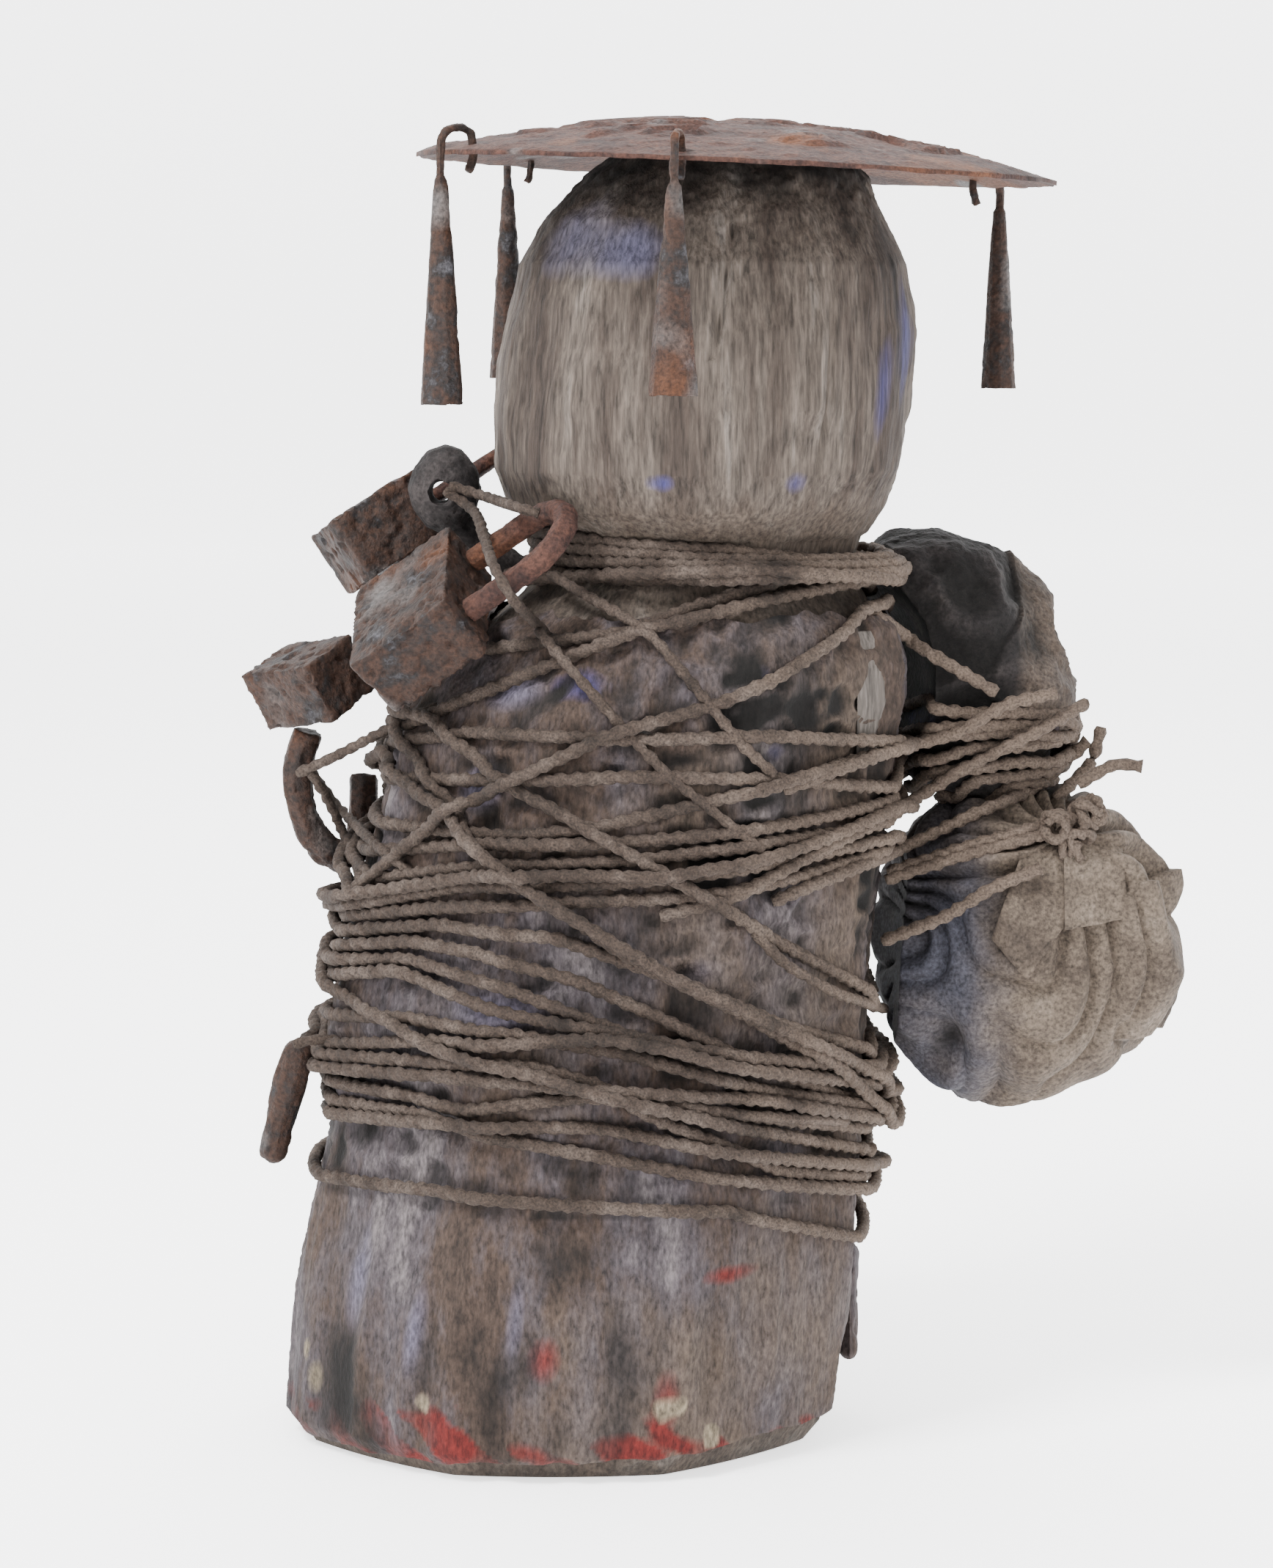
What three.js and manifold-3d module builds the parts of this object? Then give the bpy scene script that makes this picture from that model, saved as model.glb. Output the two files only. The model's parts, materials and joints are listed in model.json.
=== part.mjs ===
// A power figure: a leaning carved trunk and head, wrapped in cloth and bound with cord,
// hung with padlocks and two packets, under a domed iron disc with rolled iron pendants.
// Millimetres, +Z up, origin at the middle of the underside; the front faces -Y.

import * as THREE from 'three';
import { mergeVertices } from 'three/addons/utils/BufferGeometryUtils.js';
import Module from 'manifold-3d';

const wasm = await Module();
wasm.setup();

// Driving dimensions
const gap = 0.4;
const cordRadius = 1.8;
const clothThickness = 1.4;
const discRadius = 87;
const discRise = 12;
const discThickness = 2;
const discTop = 358.5;
const discCentreX = 46;
const discTilt = THREE.MathUtils.degToRad(2.6);
const holeRingRadius = 80;
const holeRadius = 3.0;
const hookRadius = 1.6;
const sectionPoints = 24;
const windingLift = 2.7;

// Height, centre across, half width: the wood of the trunk, neck and head
const woodStations = [
  [0, -2.5, 72], [7, -2, 78], [28, 0, 78.3], [50, 2.5, 77.5], [70, 5.5, 75], [90, 8.5, 73], [110, 8, 74],
  [130, 10, 73], [150, 13.5, 71.5], [170, 18, 69], [190, 21.5, 68], [202, 25.5, 66.5],
  [212, 29, 63], [222, 32, 57], [231, 34, 48.5], [240, 37.5, 42.7], [246, 37.5, 44.5],
  [254, 34.5, 53], [264, 34.8, 57], [281, 36.3, 58.3], [301, 38.3, 57.2], [319, 39, 54],
  [331, 40, 48], [343, 43, 39], [349, 44.5, 32.5], [353.2, 45.5, 27],
];
const headStart = 246;
const shoulderTop = 228;

function stationAt(height) {
  const last = woodStations.length - 1;
  if (height <= woodStations[0][0]) return woodStations[0];
  if (height >= woodStations[last][0]) return woodStations[last];
  const upper = woodStations.findIndex((station) => station[0] > height);
  const [low, high] = [woodStations[upper - 1], woodStations[upper]];
  const share = (height - low[0]) / (high[0] - low[0]);
  return low.map((value, k) => value + (high[k] - value) * share);
}

// Adzed facets: 1 at the corners between facets, less at the middle of each
function facet(angle, count, firstCorner, sharpness) {
  const step = (2 * Math.PI) / count;
  const turn = (((angle - firstCorner) % step) + step) % step;
  return 1 - sharpness * (1 - Math.cos(step / 2) / Math.cos(turn - step / 2));
}

// A point on the wood at an angle and height, pushed out by an offset
function onWood(angle, height, offset) {
  const [, centre, half] = stationAt(height);
  const head = height > headStart;
  const cut = head ? facet(angle, 11, 0.1, 0.5) : facet(angle, 8, THREE.MathUtils.degToRad(-112), 0.55);
  const depth = head ? 0.94 : 0.93;
  const radius = half * cut;
  return new THREE.Vector3(
    centre + (radius + offset) * Math.cos(angle),
    (radius * depth + offset) * Math.sin(angle),
    height,
  );
}

// Helpers for closed meshes
function skin(rings, wrap = false) {
  const size = rings[0].length;
  const positions = rings.flat().flatMap((point) => point.toArray());
  const faces = [];
  const bands = wrap ? rings.length : rings.length - 1;
  for (let i = 0; i < bands; i += 1) {
    const next = (i + 1) % rings.length;
    for (let j = 0; j < size; j += 1) {
      const k = (j + 1) % size;
      faces.push(i * size + j, i * size + k, next * size + k);
      faces.push(i * size + j, next * size + k, next * size + j);
    }
  }
  if (!wrap) {
    [rings[0], rings[rings.length - 1]].forEach((ring, end) => {
      const middle = positions.length / 3;
      const centre = ring.reduce((sum, point) => sum.add(point), new THREE.Vector3());
      positions.push(...centre.divideScalar(size).toArray());
      const start = end === 0 ? 0 : (rings.length - 1) * size;
      for (let j = 0; j < size; j += 1) {
        const k = (j + 1) % size;
        if (end === 0) faces.push(middle, start + k, start + j);
        else faces.push(middle, start + j, start + k);
      }
    });
  }
  const geometry = new THREE.BufferGeometry();
  geometry.setAttribute('position', new THREE.Float32BufferAttribute(positions, 3));
  geometry.setIndex(faces);
  return geometry;
}

function toSolid(geometry) {
  const bare = geometry.clone();
  bare.deleteAttribute('normal');
  bare.deleteAttribute('uv');
  const merged = mergeVertices(bare, 1e-4);
  const index = merged.index.array;
  const corner = (k) => new THREE.Vector3().fromBufferAttribute(merged.attributes.position, k);
  const kept = [];
  let volume = 0;
  for (let i = 0; i < index.length; i += 3) {
    const [a, b, c] = [index[i], index[i + 1], index[i + 2]];
    if (a !== b && b !== c && c !== a) {
      kept.push(a, b, c);
      volume += corner(a).dot(corner(b).cross(corner(c)));
    }
  }
  if (volume < 0) kept.reverse();
  return new wasm.Manifold(new wasm.Mesh({
    numProp: 3,
    vertProperties: new Float32Array(merged.attributes.position.array),
    triVerts: new Uint32Array(kept),
  }));
}

function toGeometry(solid) {
  const mesh = solid.getMesh();
  const geometry = new THREE.BufferGeometry();
  geometry.setAttribute('position', new THREE.BufferAttribute(mesh.vertProperties, 3));
  geometry.setIndex(new THREE.BufferAttribute(mesh.triVerts, 1));
  return geometry;
}

const fused = (geometries) => geometries.map(toSolid).reduce((sum, solid) => sum.add(solid));

const angles = (count) => Array.from({ length: count }, (_, k) => (2 * Math.PI * k) / count);

// A rod along a route, open at neither end
function rod(points, radius, steps, sides = 8) {
  const outline = new THREE.Shape(
    angles(sides).map((a) => new THREE.Vector2(radius * Math.cos(a), radius * Math.sin(a))),
  );
  return new THREE.ExtrudeGeometry(outline, {
    steps, bevelEnabled: false, extrudePath: new THREE.CatmullRomCurve3(points),
  });
}

// A cord loop: a tube that closes on itself round an upright axis
function cordLoop(route, radius, sides = 4) {
  const rings = route.map((point, i) => {
    const ahead = route[(i + 1) % route.length];
    const behind = route[(i + route.length - 1) % route.length];
    const along = ahead.clone().sub(behind).normalize();
    const outward = new THREE.Vector3(along.y, -along.x, 0).normalize();
    const side = new THREE.Vector3().crossVectors(along, outward);
    return angles(sides).map((a) => point.clone()
      .addScaledVector(outward, radius * Math.cos(a))
      .addScaledVector(side, radius * Math.sin(a)));
  });
  return skin(rings, true);
}

// A cord turn round the trunk, tipped by its swing towards an angle
function trunkTurn(height, swing, towards) {
  const rest = clothOuter + cordRadius + windingLift;
  return cordLoop(angles(18).map((a) => onWood(a, height + swing * Math.cos(a - towards), rest)), cordRadius);
}

const figure = new THREE.Group();

function add(name, geometry, colour, roughness, metalness = 0, parent = figure) {
  const material = new THREE.MeshStandardMaterial({ color: colour, roughness, metalness });
  const mesh = new THREE.Mesh(geometry, material);
  mesh.name = name;
  parent.add(mesh);
  return mesh;
}

const colours = {
  wood: 0x6d635c, cloth: 0x5d5664, cord: 0x4a4138, iron: 0x4d3a31, rust: 0x6b3f2c,
  hide: 0x35302f, packet: 0x7a6450, paleWood: 0x9a8c7d,
};

// The carved figure: underside, trunk, neck and faceless dome, at an offset from its surface
function figureForm(offset = 0) {
  const rows = woodStations.map(([height]) => angles(sectionPoints).map((a) => onWood(a, height, offset)));
  const crown = angles(sectionPoints).map((a) => new THREE.Vector3(46.5 + 9 * Math.cos(a), 9 * Math.sin(a), 355.6));
  return skin([...rows, crown]);
}
add('wooden_figure', figureForm(), colours.wood, 0.9);

// The cloth: a thin sleeve from the shoulder to a hem just off the ground, which rises to the
// right, and open there over the bare wood
const clothOuter = gap + clothThickness;
function bodyCloth() {
  const above = new THREE.BoxGeometry(400, 400, 300).translate(0, 0, 150 + shoulderTop);
  const below = new THREE.BoxGeometry(400, 400, 60).translate(0, 0, -30).rotateY(-0.05).translate(0, 0, 5.5);
  const bareWood = new THREE.BoxGeometry(60, 70, 66).translate(88, 14, 18);
  return [figureForm(gap), above, below, bareWood]
    .reduce((sleeve, cutter) => sleeve.subtract(toSolid(cutter)), toSolid(figureForm(clothOuter)));
}
add('body_cloth', toGeometry(bodyCloth()), colours.cloth, 0.95);

// The disc: a shallow iron dome, pierced near its rim
const pendants = [
  { name: 'pendant_front', bearing: -11.5, length: 61, mouth: 6.8 },
  { name: 'pendant_left', bearing: -61, length: 67, mouth: 6 },
  { name: 'pendant_back_left', bearing: -134.5, length: 62, mouth: 5.8 },
  { name: 'pendant_right', bearing: 123, length: 58, mouth: 5.4 },
  { name: 'pendant_back', bearing: 175, length: 60, mouth: 5.8 },
];
const emptyHoleBearing = 56;
const domeHeight = (radius) => discRise * (1 - (radius / discRadius) ** 2);

function crownDisc() {
  const radii = [0, 26, 48, 68, discRadius];
  const top = radii.map((r) => new THREE.Vector2(r, domeHeight(r)));
  const under = radii.map((r) => new THREE.Vector2(r, domeHeight(r) - discThickness));
  const dome = toSolid(new THREE.LatheGeometry([...under, ...top.reverse()], 32).rotateX(Math.PI / 2));
  const bearings = [...pendants.map((pendant) => pendant.bearing), emptyHoleBearing];
  return toGeometry(bearings.reduce((disc, bearing) => {
    const turn = THREE.MathUtils.degToRad(bearing);
    const drill = new THREE.CylinderGeometry(holeRadius, holeRadius, 16, 8).rotateX(Math.PI / 2)
      .translate(holeRingRadius * Math.sin(turn), -holeRingRadius * Math.cos(turn), domeHeight(holeRingRadius));
    return disc.subtract(toSolid(drill));
  }, dome));
}
const crown = new THREE.Group();
crown.position.set(discCentreX, 0, discTop - discRise);
crown.rotation.y = discTilt;
figure.add(crown);
add('crown_disc', crownDisc(), colours.rust, 0.85, 0.4, crown);

// A pendant: a hollow rolled cone on a shank that hooks over the rim and back up through a hole.
// It is drawn with the shank at the origin, the disc on its +Y side.
function pendant({ length, mouth }) {
  const top = -9;
  const bottom = top - length + 8;
  const closed = bottom + (top - bottom) * 0.66;
  const waist = bottom + (top - bottom) * 0.5;
  const profile = [
    [0, closed], [mouth - 0.9, bottom], [mouth, bottom], [mouth * 0.55 + 0.9, waist], [2.1, top], [0, top],
  ].map(([r, z]) => new THREE.Vector2(r, z));
  const cone = new THREE.LatheGeometry(profile, 9).rotateX(Math.PI / 2);
  const reach = discRadius + gap + hookRadius + 0.4 - holeRingRadius;
  const hook = rod([
    [0, -10], [0, -2], [0.8, 2.6], [reach / 2, 4.2], [reach - 0.8, 3.4], [reach, 0], [reach, -4],
    [reach - 1.5, -7.5],
  ].map(([y, z]) => new THREE.Vector3(0, y, z)), hookRadius, 12, 5);
  return toGeometry(fused([cone, hook]));
}
pendants.forEach((each) => {
  const turn = THREE.MathUtils.degToRad(each.bearing);
  const out = discRadius + gap + hookRadius + 0.4;
  const x = out * Math.sin(turn);
  const place = new THREE.Group();
  place.position.set(discCentreX + x, -out * Math.cos(turn), discTop - discRise - x * Math.sin(discTilt));
  place.rotation.z = turn;
  figure.add(place);
  add(each.name, pendant(each), colours.iron, 0.8, 0.6, place);
});

// A padlock: a box body with its shackle standing out of the +X end, in the X-Y plane
function padlock(name, corner, along, across, size, shackle) {
  const xAxis = new THREE.Vector3(...along).normalize();
  const zAxis = new THREE.Vector3().crossVectors(xAxis, new THREE.Vector3(...across)).normalize();
  const yAxis = new THREE.Vector3().crossVectors(zAxis, xAxis);
  const place = new THREE.Group();
  place.quaternion.setFromRotationMatrix(new THREE.Matrix4().makeBasis(xAxis, yAxis, zAxis));
  place.position.set(...corner);
  figure.add(place);
  const [high, wide, thick] = size;
  const outline = new THREE.Shape([
    [1.5, 0], [high - 1.5, 0], [high, 1.5], [high, wide - 1.5], [high - 1.5, wide], [1.5, wide],
    [0, wide - 4], [0, 4],
  ].map(([x, y]) => new THREE.Vector2(x, y)));
  const body = new THREE.ExtrudeGeometry(outline, { depth: thick, bevelEnabled: false }).translate(0, 0, -thick);
  add(`${name}_body`, body, colours.iron, 0.85, 0.5, place);
  const middle = wide / 2;
  const { half, reach, radius } = shackle;
  const bow = angles(16).filter((a) => a <= Math.PI).map((a) => [
    high + reach - half + half * Math.sin(a), middle - half * Math.cos(a),
  ]);
  const route = [[high + gap, middle - half], ...bow, [high + gap, middle + half]];
  const rodPoints = route.map(([x, y]) => new THREE.Vector3(x, y, -thick / 2));
  add(`${name}_shackle`, rod(rodPoints, radius, 13, 7), colours.rust, 0.8, 0.5, place);
}
padlock('padlock_front', [-57.2, -51.7, 213.1], [27, -10, 19], [3, 36, 21], [33, 41, 19], {
  half: 12.5, reach: 33, radius: 3.6,
});
padlock('padlock_rear', [-65.0, -0.6, 249.4], [19.4, 8.3, 12.4], [-8.2, 29, -6.6], [29.5, 30.5, 19.7], {
  half: 9, reach: 30.2, radius: 2.6,
});

// The third padlock hangs lower, its heavy bow drooping towards the trunk
const lowerLock = new THREE.Group();
const lowerAlong = new THREE.Vector3(10.6, 12.3, 7.6).normalize();
const lowerDown = new THREE.Vector3(7, 3.7, -15.8);
lowerDown.addScaledVector(lowerAlong, -lowerDown.dot(lowerAlong)).normalize();
const lowerAcross = new THREE.Vector3().crossVectors(lowerAlong, lowerDown);
lowerLock.quaternion.setFromRotationMatrix(new THREE.Matrix4().makeBasis(lowerAlong, lowerDown, lowerAcross));
lowerLock.position.set(-70.5, -14, 210.7);
figure.add(lowerLock);
const lowerSize = [19, 17.5, 28];
const lowerBody = new THREE.BoxGeometry(...lowerSize).translate(...lowerSize.map((side) => side / 2));
add('padlock_lower_body', lowerBody, colours.iron, 0.85, 0.5, lowerLock);
add('padlock_lower_shackle', rod([
  [-71.6, 7.4, 191.4], [-75, 9, 180], [-73, 10, 166], [-67, 14, 156.5], [-61, 20, 155], [-58.5, 27, 162],
  [-58, 33, 176],
].map((p) => new THREE.Vector3(...p)), 4.6, 12, 7), colours.iron, 0.85, 0.5);

// A thin iron hoop caught between the two upper padlocks
const hoop = new THREE.TorusGeometry(8.5, 0.9, 5, 16);
const hoopMesh = add('iron_hoop', hoop, colours.rust, 0.8, 0.5);
hoopMesh.position.set(-43.0, 10.6, 229.2);
hoopMesh.quaternion.setFromUnitVectors(new THREE.Vector3(0, 0, 1), new THREE.Vector3(0.07, 0.86, 0.5).normalize());

// A pierced knob that leans out of the windings at the neck
function piercedKnob() {
  const bulb = new THREE.SphereGeometry(1, 12, 8).scale(10, 8.5, 12.5).translate(-33.5, -1, 258.5);
  const stem = rod([
    new THREE.Vector3(-31, 1, 252), new THREE.Vector3(-25, 3, 243), new THREE.Vector3(-13.6, 4, 236.4),
  ], 4.2, 5, 7);
  const eye = new THREE.CylinderGeometry(3.3, 3.3, 30, 9).translate(-34, -1, 257.5);
  return toGeometry(toSolid(bulb).add(toSolid(stem)).subtract(toSolid(eye)));
}
add('pierced_knob', piercedKnob(), colours.wood, 0.85);

// A short rounded peg tucked under the turns at the lower left
const peg = add('side_peg', new THREE.CapsuleGeometry(4.7, 27, 4, 9), colours.iron, 0.75);
peg.position.set(-76.8, -21.9, 93);
peg.quaternion.setFromUnitVectors(new THREE.Vector3(0, 1, 0), new THREE.Vector3(0.27, -0.04, 1).normalize());

// The two packets at the right: full forms with soft pleats, hollowed where the trunk is. The square
// value fills their corners out, and the lean carries the top towards the trunk.
const fill = (value, square) => Math.sign(value) * Math.abs(value) ** square;

function packet({ centre, radii, lobes, depth, square, lean }, grow = 0) {
  const rows = 11;
  const rings = Array.from({ length: rows }, (_, i) => {
    const rise = -Math.PI / 2 + (Math.PI * (i + 0.5)) / rows;
    const out = fill(Math.cos(rise), square);
    const up = fill(Math.sin(rise), square);
    return angles(23).map((a) => {
      const swell = 1 + depth * Math.sin(lobes * a + 2 * rise) * Math.cos(rise);
      return new THREE.Vector3(
        centre[0] + lean * up + (radii[0] * swell + grow) * out * fill(Math.cos(a), square),
        centre[1] + (radii[1] * swell + grow) * out * fill(Math.sin(a), square),
        centre[2] + (radii[2] + grow) * up,
      );
    });
  });
  return toSolid(skin(rings));
}

const clearance = clothOuter + 2 * cordRadius + windingLift + 5 * gap;
const trunkSpace = toSolid(figureForm(clearance));
const upper = { centre: [107, 24, 209], radii: [33, 32, 39.5], lobes: 5, depth: 0.05, square: 0.95, lean: -9 };
const lower = { centre: [124.5, 22, 129], radii: [43.5, 37, 44.5], lobes: 7, depth: 0.055, square: 0.84, lean: 0 };
const upperHide = packet(upper).subtract(trunkSpace);
const outerLayer = packet(upper, 2.4)
  .subtract(packet(upper, gap))
  .subtract(trunkSpace)
  .intersect(toSolid(new THREE.BoxGeometry(60, 120, 66).translate(144, 24, 222)));
const lowerCloth = packet(lower)
  .subtract(trunkSpace)
  .subtract(packet(upper, 3));
add('upper_packet', toGeometry(upperHide), colours.hide, 0.8);
add('outer_hide', toGeometry(outerLayer), colours.packet, 0.85);
add('lower_packet', toGeometry(lowerCloth), colours.packet, 0.95);

// Small trim: the pale strip at the shoulder and the cloth flap at the lower right
const stripPlace = new THREE.BoxGeometry(14, 22, 36).translate(84, -32, 204);
const strip = toSolid(figureForm(clothOuter + gap + 0.7)).subtract(toSolid(figureForm(clothOuter + gap)))
  .intersect(toSolid(stripPlace));
add('shoulder_strip', toGeometry(strip), colours.paleWood, 0.9);
const flap = add('lower_flap', new THREE.CapsuleGeometry(2.4, 28, 2, 8).scale(1, 1, 3), colours.cloth, 0.95);
flap.rotation.x = Math.PI / 2;
flap.position.set(78.4, 12, 30);

// Cords held by the figure all the way: crossing turns, each set fused where its turns cross
const windingTurns = [
  [88, 11, 0.4], [104, 15, 2.9], [126, 18, 0.2], [148, 22, 3.3], [168, 24, 0.2], [190, 20, 3.1],
];
const winding = fused(windingTurns.map((turn) => trunkTurn(...turn)));
add('body_winding', toGeometry(winding), colours.cord, 0.95);

function neckTurn(height, swing, towards) {
  const route = angles(17).map((a) => onWood(a, height + swing * Math.cos(a - towards), cordRadius + 1.3));
  return cordLoop(route, cordRadius);
}
const neckTurns = fused([neckTurn(236, 2, 0), neckTurn(239, 2.5, 3), neckTurn(242, 2, 0.6)]);
add('neck_winding', toGeometry(neckTurns), colours.cord, 0.95);
add('low_cord', trunkTurn(59, 6, Math.PI - 0.2), colours.cord, 0.95);

// The tie that draws the packets to the trunk: loops round the packet at its waist
function packetTurn(height, swing, towards) {
  const { centre, radii, lobes, depth, square, lean } = upper;
  const route = angles(23).map((a) => {
    const up = (height + swing * Math.cos(a - towards) - centre[2]) / radii[2];
    const rise = Math.asin(fill(up, 1 / square));
    const swell = 1 + depth * Math.sin(lobes * a + 2 * rise) * Math.cos(rise);
    const out = fill(Math.cos(rise), square);
    const proud = cordRadius + gap + 3;
    return new THREE.Vector3(
      centre[0] + lean * up + (radii[0] * swell * out + proud) * fill(Math.cos(a), square),
      centre[1] + (radii[1] * swell * out + proud) * fill(Math.sin(a), square),
      centre[2] + up * radii[2],
    );
  });
  return toSolid(cordLoop(route, cordRadius)).subtract(trunkSpace);
}
const tie = [[187, 4, 0], [184, 6, 3.1]].map((turn) => packetTurn(...turn));
add('packet_tie', toGeometry(tie.reduce((sum, turn) => sum.add(turn)).subtract(outerLayer)), colours.cord, 0.95);

export default figure;
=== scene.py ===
# The looks of a power figure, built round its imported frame: wood, cloth, cord, rusted iron and two
# packets. Lengths are in millimetres and become metres in each mesh; +Z is up, the front faces -Y.
import json
import math

import bpy
import numpy as np
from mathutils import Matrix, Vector
from mathutils.bvhtree import BVHTree

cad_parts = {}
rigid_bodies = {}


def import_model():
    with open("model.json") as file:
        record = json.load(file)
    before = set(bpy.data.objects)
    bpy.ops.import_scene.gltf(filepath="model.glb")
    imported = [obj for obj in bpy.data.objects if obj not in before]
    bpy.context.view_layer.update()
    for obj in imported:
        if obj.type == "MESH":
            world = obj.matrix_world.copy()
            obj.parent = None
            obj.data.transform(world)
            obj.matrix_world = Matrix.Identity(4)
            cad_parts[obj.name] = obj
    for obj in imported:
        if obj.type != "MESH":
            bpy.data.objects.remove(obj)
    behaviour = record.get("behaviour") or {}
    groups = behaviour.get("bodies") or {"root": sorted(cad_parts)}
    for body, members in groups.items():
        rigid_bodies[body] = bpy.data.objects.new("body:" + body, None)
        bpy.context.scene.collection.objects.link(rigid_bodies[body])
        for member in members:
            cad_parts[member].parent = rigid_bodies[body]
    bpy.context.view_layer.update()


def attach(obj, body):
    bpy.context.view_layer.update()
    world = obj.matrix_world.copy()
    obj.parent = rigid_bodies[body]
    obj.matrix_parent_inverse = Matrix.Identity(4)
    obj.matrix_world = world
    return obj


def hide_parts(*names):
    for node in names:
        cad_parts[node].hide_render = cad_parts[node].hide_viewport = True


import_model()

# Driving dimensions
MM = 0.001
FULL_TURN = 2 * math.pi
CORD_RADIUS = 1.85
CORD_STEP = 1.3
CLOTH_OFFSET = 2.0
SHOULDER_TOP = 228.0
HEAD_START = 246.0
CROWN_Z, CROWN_X = 355.6, 46.5
HEAD_FACETS, TRUNK_FACETS = (11, 0.1, 0.5), (8, math.radians(-112), 0.55)
HEAD_DEPTH, TRUNK_DEPTH = 0.94, 0.93

# Height, centre across, half width of the wood, in millimetres
STATIONS = np.array([
    (0, -2.5, 72), (7, -2, 78), (28, 0, 78.3), (50, 2.5, 77.5), (70, 5.5, 75), (90, 8.5, 73), (110, 8, 74),
    (130, 10, 73), (150, 13.5, 71.5), (170, 18, 69), (190, 21.5, 68), (202, 25.5, 66.5),
    (212, 29, 63), (222, 32, 57), (231, 34, 48.5), (240, 37.5, 42.7), (246, 37.5, 44.5),
    (254, 34.5, 53), (264, 34.8, 57), (281, 36.3, 58.3), (301, 38.3, 57.2), (319, 39, 54),
    (331, 40, 48), (343, 43, 39), (349, 44.5, 32.5), (353.2, 45.5, 27), (CROWN_Z, CROWN_X, 9),
])

# The camera that the photograph implies: 6000 pixels of focal length in a frame 1736 by 2138
CAM_X, CAM_BACK, CAM_HIGH, CAM_PITCH = 18.8, 1200.0, 314.0, math.radians(6.5)
FOCAL_PX, MID_U, MID_V, LONG_SIDE, SENSOR = 6000.0, 868.0, 1069.0, 2138.0, 36.0


def make_camera():
    data = bpy.data.cameras.new("camera")
    data.sensor_width = SENSOR
    data.lens = FOCAL_PX / LONG_SIDE * SENSOR
    data.clip_end = 50
    camera = bpy.data.objects.new("camera", data)
    camera.location = (CAM_X * MM, -CAM_BACK * MM, CAM_HIGH * MM)
    camera.rotation_euler = (math.pi / 2 - CAM_PITCH, 0, 0)
    bpy.context.scene.collection.objects.link(camera)
    bpy.context.scene.camera = camera


make_camera()


# Seeded noise on points, by hashing a lattice
def lattice(ix, iy, iz, seed):
    n = (ix * 374761393 + iy * 668265263 + iz * 1442695041 + seed * 974634777) & 0xFFFFFFFF
    n = ((n ^ (n >> 13)) * 1274126177) & 0xFFFFFFFF
    return ((n ^ (n >> 16)) & 0xFFFF) / 32767.5 - 1.0


def noise(points, scale, seed=1, octaves=1):
    total, strength, weight = 0.0, 1.0, 0.0
    for octave in range(octaves):
        p = np.asarray(points) * (scale * 2 ** octave)
        cell = np.floor(p).astype(np.int64)
        f = p - cell
        f = f * f * (3 - 2 * f)
        value = 0.0
        for dx in (0, 1):
            for dy in (0, 1):
                for dz in (0, 1):
                    w = (np.abs(1 - dx - f[..., 0]) * np.abs(1 - dy - f[..., 1])
                         * np.abs(1 - dz - f[..., 2]))
                    value = value + w * lattice(cell[..., 0] + dx, cell[..., 1] + dy,
                                                cell[..., 2] + dz, seed + octave)
        total = total + value * strength
        weight += strength
        strength *= 0.5
    return total / weight


# The form of the wood, as in the frame
def station(z):
    return np.interp(z, STATIONS[:, 0], STATIONS[:, 1]), np.interp(z, STATIONS[:, 0], STATIONS[:, 2])


def facet(angle, count, first, sharp):
    step = FULL_TURN / count
    turn = np.mod(angle - first, step)
    return 1 - sharp * (1 - math.cos(step / 2) / np.cos(turn - step / 2))


def on_wood(angle, z, offset):
    centre, half = station(z)
    head = z > HEAD_START
    cut = np.where(head, facet(angle, *HEAD_FACETS), facet(angle, *TRUNK_FACETS))
    depth = np.where(head, HEAD_DEPTH, TRUNK_DEPTH)
    radius = half * cut
    return np.stack([centre + (radius + offset) * np.cos(angle),
                     (radius * depth + offset) * np.sin(angle), z + 0 * angle], axis=-1)


# Meshes
def bare_mesh(name, points, faces):
    mesh = bpy.data.meshes.new(name)
    mesh.from_pydata((np.asarray(points).reshape(-1, 3) * MM).tolist(), [], faces)
    mesh.validate()
    obj = bpy.data.objects.new(name, mesh)
    bpy.context.scene.collection.objects.link(obj)
    mesh.shade_smooth()
    return obj


def add_mesh(name, points, faces):
    obj = bare_mesh(name, points, faces)
    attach(obj, "root")
    return obj


def join(main, parts):
    """Make the parts' meshes one with the main one."""
    bpy.ops.object.select_all(action="DESELECT")
    for part in (main, *parts):
        part.select_set(True)
    bpy.context.view_layer.objects.active = main
    bpy.ops.object.join()
    main.select_set(False)


def grid_faces(rows, cols, wrap_rows=False, start=0):
    faces = []
    for i in range(rows if wrap_rows else rows - 1):
        here, there = start + i * cols, start + (i + 1) % rows * cols
        for j in range(cols):
            k = (j + 1) % cols
            faces.append((here + j, here + k, there + k, there + j))
    return faces


def capped_faces(rows, cols, start=0):
    """A tube of rings, closed at both ends."""
    first = tuple(start + j for j in range(cols))[::-1]
    last = tuple(start + (rows - 1) * cols + j for j in range(cols))
    return [*grid_faces(rows, cols, start=start), first, last]


def set_mask(obj, name, values):
    attribute = obj.data.attributes.new(name, "FLOAT", "POINT")
    attribute.data.foreach_set("value", np.clip(np.asarray(values, dtype=np.float32).ravel(), 0, 1))


# Materials: broad and fine noise drive the colour, and masks on the mesh lay paint, dust and painted shade
# over it.
# Every colour is dimmed by the tone, which suits them to the bright studio.
TONE = 0.34
NOISE_LOW, NOISE_HIGH = 0.3, 0.7
SHADE_DARK, SHADE_LIGHT = 0.4, 1.6
MASK_GAIN, MASK_BREAK_UP = 2.0, -1.4


def toned(colour):
    return tuple(TONE * value for value in colour)


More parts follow.
